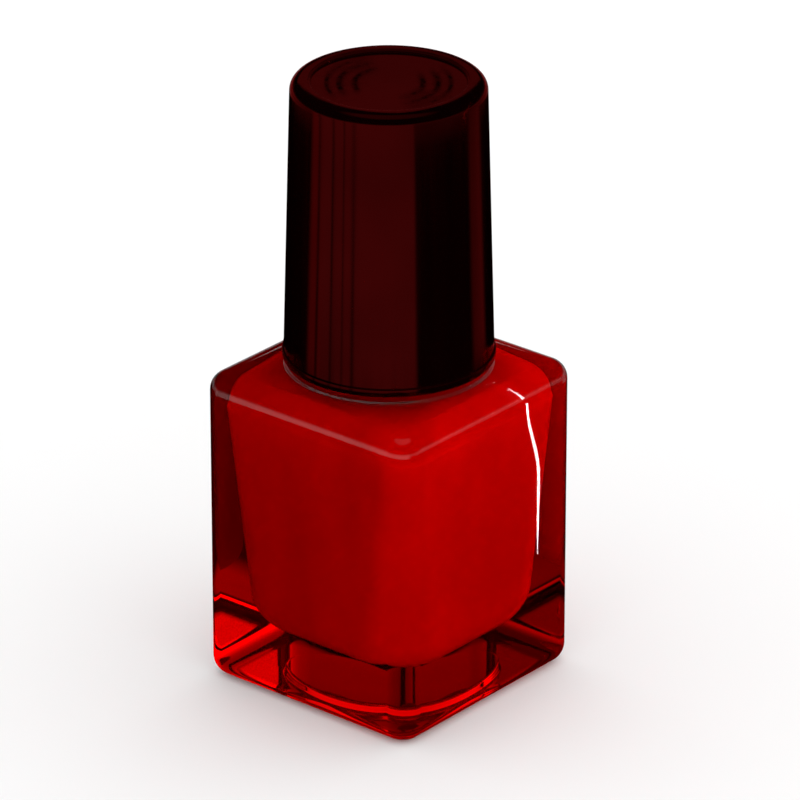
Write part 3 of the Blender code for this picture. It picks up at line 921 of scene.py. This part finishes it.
def make_bristle_root(look):
    """The folded ends, as a packed bundle with a rounded fold over the staple."""
    radius = (ROOT_HIGH[0] - ROOT_LOW[0]) / 2
    low, high = ROOT_LOW[2] + ROOT_LIFT, ROOT_HIGH[2]
    profile = [(low, 0.4 * radius), (low + ROOT_EDGE, radius)]
    for swing in arc(ROOT_FOLD_STEPS, 0, 90):
        z = mix(high - ROOT_FOLD, high, math.sin(swing))
        profile.append((z, max(radius * math.cos(swing), ROOT_EDGE)))
    return piece("bristle_fold", loft(circles(profile)), look, "cap", "nylon_bristle", "bristle_root")


def make_staple(look):
    low, high = Vector(STAPLE_LOW), Vector(STAPLE_HIGH)
    high.z += STAPLE_LIFT
    shape = bmesh.new()
    bmesh.ops.create_cube(shape, size=1.0)
    for vert in shape.verts:
        vert.co = Vector(mix(low[axis], high[axis], vert.co[axis] + 0.5) for axis in range(3))
    bmesh.ops.bevel(shape, geom=shape.edges[:], offset=STAPLE_EDGE, segments=2, affect="EDGES")
    return piece("bristle_anchor", shape, look, "cap", "steel", "bristle_staple")


def make_carried_lacquer(look):
    """A wet coat round the lower half of the tuft, with a drop at its tip and an uneven top edge."""
    draw = random.Random(3)
    high, low = CARRIED_HIGH[2], TUFT_LOW[2] - COAT_DROP
    rings = []
    waves = [(draw.uniform(0, 6.28), draw.choice((2, 3, 5))) for _ in range(3)]
    for row in range(COAT_ROWS + 1):
        share = row / COAT_ROWS
        z = mix(low, high, share)
        below = max(0.0, min(1.0, (FLEX_Z - z) / TUFT_LENGTH))
        body = TUFT_BASE_R * tuft_spread(below) + COAT_THICK
        tip = math.sin(math.radians(90) * min(1.0, share / COAT_TIP_SHARE)) ** 0.6
        thin = 1.0 - COAT_THIN_BY * (max(0.0, share - COAT_THIN_FROM) / (1 - COAT_THIN_FROM)) ** 2
        edge_share = max(0.0, share - COAT_EDGE_FROM) / (1 - COAT_EDGE_FROM)
        ring = []
        for x, y, level in circle(z, 1.0):
            angle = math.atan2(y, x)
            ripple = sum(math.sin(times * angle + phase + 9 * share) for phase, times in waves)
            edge_wave = COAT_EDGE_WAVE * math.sin(3 * angle + 1.0) * edge_share
            reach = body * max(tip, COAT_TIP_LEAST) * thin * (1 + COAT_RIPPLE * ripple)
            ring.append((x * reach, y * reach, level + edge_wave))
        rings.append(ring)
    return piece("lacquer_coat", loft(rings), look, "bristles", "red_lacquer", "lacquer_on_brush")


# ---------------------------------------------------------------- camera and floor


# The camera is far off with a long lens, so that upright edges stay nearly parallel
CAMERA_AZIMUTH = 40.0
CAMERA_ELEVATION = 25.0
CAMERA_DISTANCE = 0.80
CAMERA_WIDTH = 94.9 * MM  # what the picture takes in at the object
CAMERA_SENSOR = 36.0
CAMERA_CLIP = 0.01
AIM_HEIGHT = 35.3 * MM
AIM_RIGHT = 1.3 * MM

FLOOR_SIZE = 4.0
FLOOR_Z = -0.03 * MM


def direction(azimuth, elevation):
    """From the object towards an azimuth and elevation in degrees. Azimuth 0 is -Y and 90 is +X."""
    turn, up = math.radians(azimuth), math.radians(elevation)
    return Vector((math.sin(turn) * math.cos(up), -math.cos(turn) * math.cos(up), math.sin(up)))


def make_camera():
    """The scene's camera. Returns where it stands."""
    data = bpy.data.cameras.new("camera")
    data.sensor_width = CAMERA_SENSOR
    data.lens = data.sensor_width * CAMERA_DISTANCE / CAMERA_WIDTH
    data.clip_start = CAMERA_CLIP
    camera = bpy.data.objects.new("camera", data)
    away = direction(CAMERA_AZIMUTH, CAMERA_ELEVATION)
    right = direction(CAMERA_AZIMUTH + 90, 0)
    aim = Vector((0, 0, AIM_HEIGHT)) + right * AIM_RIGHT
    camera.location = aim + away * CAMERA_DISTANCE
    camera.rotation_euler = away.to_track_quat("Z", "Y").to_euler()
    bpy.context.scene.collection.objects.link(camera)
    bpy.context.scene.camera = camera
    return camera.location.copy()


def make_floor():
    made, _, shader = new_material("pale_floor", (0.9, 0.9, 0.9), 0.9)
    shader.inputs["Specular IOR Level"].default_value = 0.0
    shape = bmesh.new()
    bmesh.ops.create_grid(shape, x_segments=1, y_segments=1, size=FLOOR_SIZE)
    floor = piece("floor", shape, made, "", "")
    floor.location.z = FLOOR_Z


# ---------------------------------------------------------------- light cards


CARD_R = 3.0
REFLECTOR_Z = -0.02 * MM  # both cards lie below the base, so that they don't cover it
GLASS_CARD_Z = -0.01 * MM

# What reflections see on the floor: dark by the bottle, then bands round the cap.
# Each band is degrees to the left of the camera's direction, and a level.
CARD_DARK = (0.106, 0.112)
BANDS = (
    (-180, 0.0), (-128, 0.0), (-121, 0.4), (-104, 0.4), (-98, 0.0), (-30, 0.0), (-27, 0.85), (0, 0.9),
    (37, 0.9), (38, 0.1), (40, 0.1), (41, 0.9), (49, 0.9), (50, 0.2), (51, 0.2), (52, 0.9), (62, 0.9),
    (63, 0.1), (65, 0.1), (66, 0.9), (81, 0.9), (82, 0.1), (84, 0.1), (85, 0.9), (92, 0.85), (98, 0.0),
)
OUTER_DARK = (0.20, 0.24)
OUTER_LEVEL = 0.35

# What is seen on the floor through the glass, left and right of the camera, and by distance
GLASS_CARD_LEFT = 0.35
GLASS_CARD_RIGHT = 2.2
GLASS_CARD_FADE = 40.0 * MM
GLASS_CARD_REACH = 160.0 * MM
GLASS_CARD_RING = ((0.0, 1.0), (22.0 * MM, 1.0), (26.0 * MM, 0.08), (95.0 * MM, 0.08), (125.0 * MM, 1.0))

# The bright streak that the right face and its top edge mirror
STREAK_ON_SIDE = ((8.6, 16.7), (8.7, 27.0), (6.4, 37.4))  # across and up the right face, in mm
STREAK_OVER_EDGE = (15, 62)  # degrees that the glass has turned from upright
STREAK_LEAN = 1.8 * MM
STREAK_STEPS = 20
STREAK_SIDE_REACH = 26.0 * MM
STREAK_EDGE_REACH = 130.0 * MM
STREAK_SIDE_TAPER = (0.01, 0.8)  # the stretch of a half wave that the strip's width follows
STREAK_EDGE_TAPER = (0.5, 0.98)
STREAK_WIDTH = 0.5 * MM
STREAK_LEVEL = 18.0
LEAST_CARD_Z = 0.05 * MM

# The card that the cap's top mirrors, with its dark arcs
TOP_CARD_HALF = 10.0 * MM
TOP_CARD_LEVEL = 0.3
TOP_CARD_REACH = 14.0 * MM
TOP_ARCS = (
    (0.0, 1.0), (0.36, 1.0), (0.37, 0.0), (0.43, 0.0), (0.44, 1.0), (0.54, 1.0), (0.55, 0.0), (0.61, 0.0),
    (0.62, 1.0), (0.70, 1.0), (0.71, 0.0), (0.75, 0.0), (0.76, 1.0),
)
TOP_ARCS_TURN = 70
TOP_ARCS_ENDS = (0.55, 0.75)


def glow_material(name):
    """A plain light, its node tree and the socket for its strength."""
    made = bpy.data.materials.new(name)
    made.use_nodes = True
    tree = made.node_tree
    tree.nodes.clear()
    glow = tree.nodes.new("ShaderNodeEmission")
    out = tree.nodes.new("ShaderNodeOutputMaterial")
    tree.links.new(glow.outputs["Emission"], out.inputs["Surface"])
    return made, tree, glow.inputs["Strength"]


def only_seen_by(card, reflections, glass):
    """Leaves a card to reflections, to rays that have passed through glass, or to both."""
    card.visible_camera = False
    card.visible_diffuse = False
    card.visible_glossy = reflections
    card.visible_transmission = glass
    card.visible_volume_scatter = False
    card.visible_shadow = False


def make_floor_card(name, look, azimuth, z, reflections, glass):
    """A round card that lies on the floor, turned to the camera."""
    shape = bmesh.new()
    bmesh.ops.create_circle(shape, cap_ends=True, segments=64, radius=CARD_R)
    card = piece(name, shape, look, "", "")
    card.rotation_euler.z = math.radians(azimuth)
    card.location.z = z
    only_seen_by(card, reflections, glass)


def make_reflector():
    """A card on the floor that only reflections see: dark by the bottle, and banded further out."""
    made, tree, strength = glow_material("reflector_card")
    place = coordinates(tree, "Object")
    across = components(tree, place)
    angle = calculate(tree, "ARCTAN2", across["X"], across["Y"])
    turn = remap(tree, angle, 0.0, 1.0, -math.pi, math.pi)
    bands = grey_ramp(tree, turn, [(0.5 + angle / 360, level) for angle, level in BANDS])
    distance = vector_maths(tree, "LENGTH", "Value", place)
    level = calculate(tree, "MULTIPLY", bands, remap(tree, distance, 0.0, 1.0, *CARD_DARK))
    outer = remap(tree, distance, 0.0, OUTER_LEVEL, *OUTER_DARK)
    tree.links.new(calculate(tree, "MAXIMUM", level, outer), strength)
    make_floor_card("reflector_card", made, CAMERA_AZIMUTH + 180, REFLECTOR_Z, True, False)


def make_glass_card():
    """A card on the floor that is only seen through the glass. It is brighter to the right."""
    made, tree, strength = glow_material("glass_card")
    place = coordinates(tree, "Object")
    across = components(tree, place)["X"]
    level = remap(tree, across, GLASS_CARD_LEFT, GLASS_CARD_RIGHT, -GLASS_CARD_FADE, GLASS_CARD_FADE)
    distance = remap(tree, vector_maths(tree, "LENGTH", "Value", place), 0.0, 1.0, 0.0, GLASS_CARD_REACH)
    ring = grey_ramp(tree, distance, [(at / GLASS_CARD_REACH, value) for at, value in GLASS_CARD_RING])
    tree.links.new(calculate(tree, "MULTIPLY", level, ring), strength)
    make_floor_card("glass_card", made, CAMERA_AZIMUTH, GLASS_CARD_Z, False, True)


def mirrored(point, normal, reach, eye):
    """Where the eye sees by way of a mirror at point: on the floor, or reach away if that is nearer."""
    ray = (Vector(point) - eye).normalized()
    ray = ray.reflect(Vector(normal))
    if ray.z < 0:
        reach = min(reach, (LEAST_CARD_Z - point[2]) / ray.z)
    return Vector(point) + ray * reach


def side_streak_path():
    """Points up the right face, each with the glass's normal there."""
    path = []
    for low, high in zip(STREAK_ON_SIDE, STREAK_ON_SIDE[1:]):
        first = 1 if path else 0
        for step in range(first, STREAK_STEPS + 1):
            share = step / STREAK_STEPS
            ease = share * share * (3 - 2 * share)
            point = (BODY_HALF, mix(low[0], high[0], ease) * MM, mix(low[1], high[1], share) * MM)
            path.append((Vector(point), Vector((1, 0, 0))))
    return path


def edge_streak_path():
    """Points over the rounded top edge of the right face, in line with the other path."""
    path = []
    last_y = STREAK_ON_SIDE[-1][0] * MM
    for angle in arc(STREAK_STEPS, *STREAK_OVER_EDGE):
        out = Vector((math.cos(angle), 0, math.sin(angle)))
        middle = (BODY_HALF - SHOULDER_ROUND, last_y - STREAK_LEAN * angle, SHOULDER_Z - SHOULDER_ROUND)
        path.append((Vector(middle) + out * SHOULDER_ROUND, out))
    return path


def make_streak(name, path, reach, taper, eye):
    """A thin bright strip, laid so that the camera sees it mirrored along a path on the glass."""
    last = len(path) - 1
    shape = bmesh.new()
    rows = []
    for index, (point, normal) in enumerate(path):
        ahead = path[min(index + 1, last)][0] - path[max(index - 1, 0)][0]
        across = ahead.cross(normal).normalized()
        half = STREAK_WIDTH / 2 * math.sin(math.pi * mix(*taper, index / last)) ** 0.5
        rows.append([
            shape.verts.new(mirrored(point + across * side * half, normal, reach, eye))
            for side in (-1, 1)
        ])
    for near, far in zip(rows, rows[1:]):
        shape.faces.new((near[0], near[1], far[1], far[0]))
    made, _, strength = glow_material(name)
    strength.default_value = STREAK_LEVEL
    only_seen_by(piece(name, shape, made, "", ""), True, False)


def arc_material(name, middle):
    """The cap top's light: even, with short dark arcs about its middle on two opposite sides."""
    made, tree, strength = glow_material(name)
    away = vector_maths(tree, "SUBTRACT", "Vector", coordinates(tree, "Object"), middle)
    flat = vector_maths(tree, "MULTIPLY", "Vector", away, (1.0, 1.0, 0.0))
    radius = vector_maths(tree, "LENGTH", "Value", flat)
    arcs = grey_ramp(tree, remap(tree, radius, 0.0, 1.0, 0.0, TOP_CARD_HALF), TOP_ARCS)
    unit = vector_maths(tree, "NORMALIZE", "Vector", flat)
    axis = direction(CAMERA_AZIMUTH + TOP_ARCS_TURN, 0)
    side = calculate(tree, "ABSOLUTE", vector_maths(tree, "DOT_PRODUCT", "Value", unit, axis))
    open_side = remap(tree, side, 1.0, 0.0, *TOP_ARCS_ENDS)
    either = calculate(tree, "MAXIMUM", arcs, open_side)
    tree.links.new(calculate(tree, "MULTIPLY", either, TOP_CARD_LEVEL), strength)
    return made


def make_cap_top_card(eye):
    """A card in the air that the camera sees mirrored in the cap's flat top."""
    top = CAP_HIGH[2] - CAP_DISH_DEPTH
    corners = [(TOP_CARD_HALF * x, TOP_CARD_HALF * y) for x, y in ((-1, -1), (1, -1), (1, 1), (-1, 1))]
    places = [mirrored((x, y, top), (0, 0, 1), TOP_CARD_REACH, eye) for x, y in corners]
    middle = sum(places, Vector()) / len(places)
    shape = bmesh.new()
    shape.faces.new([shape.verts.new(place) for place in places])
    look = arc_material("cap_top_card", middle)
    only_seen_by(piece("cap_top_card", shape, look, "", ""), True, False)


# ---------------------------------------------------------------- world


LIGHT_TURN = 85  # the world's light is strongest at this many degrees right of the camera, and low
LIGHT_ELEVATION = -45
SOFT_LEFT = 1.0  # light on the floor and all plain surfaces
SOFT_RIGHT = 1.6
THROUGH_LEFT = 1.3  # light that reaches the lacquer and the base through the glass
THROUGH_RIGHT = 10.0
THROUGH_BY_HEIGHT = ((0.0, 1.0), (0.22, 1.0), (0.6, 0.35), (1.0, 0.15))
THROUGH_BEHIND = 0.5
BEHIND_EDGE = (0.7, 0.95)
SKY = ((0.0, 0.7), (0.03, 0.7), (0.05, 0.2), (0.2, 0.0), (0.86, 0.0), (0.94, 0.3), (1.0, 0.3))  # by height


def make_world():
    """Soft white light all round, stronger from the right. Reflections see a darker studio."""
    world = bpy.data.worlds.new("studio")
    bpy.context.scene.world = world
    world.use_nodes = True
    tree = world.node_tree
    tree.nodes.clear()
    outward = coordinates(tree, "Generated")
    height = components(tree, outward)["Z"]
    light_from = direction(CAMERA_AZIMUTH + LIGHT_TURN, LIGHT_ELEVATION)
    side = vector_maths(tree, "DOT_PRODUCT", "Value", outward, light_from)
    soft = remap(tree, side, SOFT_LEFT, SOFT_RIGHT, -1.0, 1.0)

    back = direction(CAMERA_AZIMUTH + 180, CAMERA_ELEVATION)
    facing_back = vector_maths(tree, "DOT_PRODUCT", "Value", outward, back)
    behind = remap(tree, facing_back, 1.0, THROUGH_BEHIND, *BEHIND_EDGE)
    through = remap(tree, side, THROUGH_LEFT, THROUGH_RIGHT, -1.0, 1.0)
    through = calculate(tree, "MULTIPLY", through, grey_ramp(tree, height, THROUGH_BY_HEIGHT))
    through = calculate(tree, "MULTIPLY", through, behind)

    paths = tree.nodes.new("ShaderNodeLightPath").outputs
    level = choose(tree, paths["Is Glossy Ray"], soft, grey_ramp(tree, height, SKY))
    level = choose(tree, paths["Is Transmission Ray"], level, through)
    level = choose(tree, paths["Is Camera Ray"], level, 1.0)
    glow = tree.nodes.new("ShaderNodeBackground")
    glow.inputs["Color"].default_value = (1.0, 1.0, 1.0, 1.0)
    tree.links.new(level, glow.inputs["Strength"])
    out = tree.nodes.new("ShaderNodeOutputWorld")
    tree.links.new(glow.outputs["Background"], out.inputs["Surface"])


# ---------------------------------------------------------------- scene


def make_stage():
    scene = bpy.context.scene
    scene.view_settings.view_transform = "Standard"
    scene.cycles.max_bounces = 24
    scene.cycles.glossy_bounces = 16
    scene.cycles.transmission_bounces = 16
    eye = make_camera()
    make_world()
    make_floor()
    make_reflector()
    make_glass_card()
    make_streak("side_streak_card", side_streak_path(), STREAK_SIDE_REACH, STREAK_SIDE_TAPER, eye)
    make_streak("edge_streak_card", edge_streak_path(), STREAK_EDGE_REACH, STREAK_EDGE_TAPER, eye)
    make_cap_top_card(eye)


def make_bottle():
    black, bristle, metal = moulded_black(), nylon(), steel()
    make_glass(red_glass())
    make_lacquer(red_lacquer("red_lacquer", red=0.58, specular=0.12, roughness=0.3))
    make_base_label(paper())
    make_ball("mixing_ball_a", "ball_a", metal)
    make_ball("mixing_ball_b", "ball_b", metal)
    make_overcap(maroon_cap())
    make_inner_cap(black)
    make_seal_liner(liner_foam())
    make_brush_stem(black)
    make_filaments(bristle)
    make_bristle_root(bristle)
    make_staple(metal)
    make_carried_lacquer(red_lacquer("wet_lacquer", red=0.4, specular=0.5, roughness=0.12))


make_stage()
make_bottle()
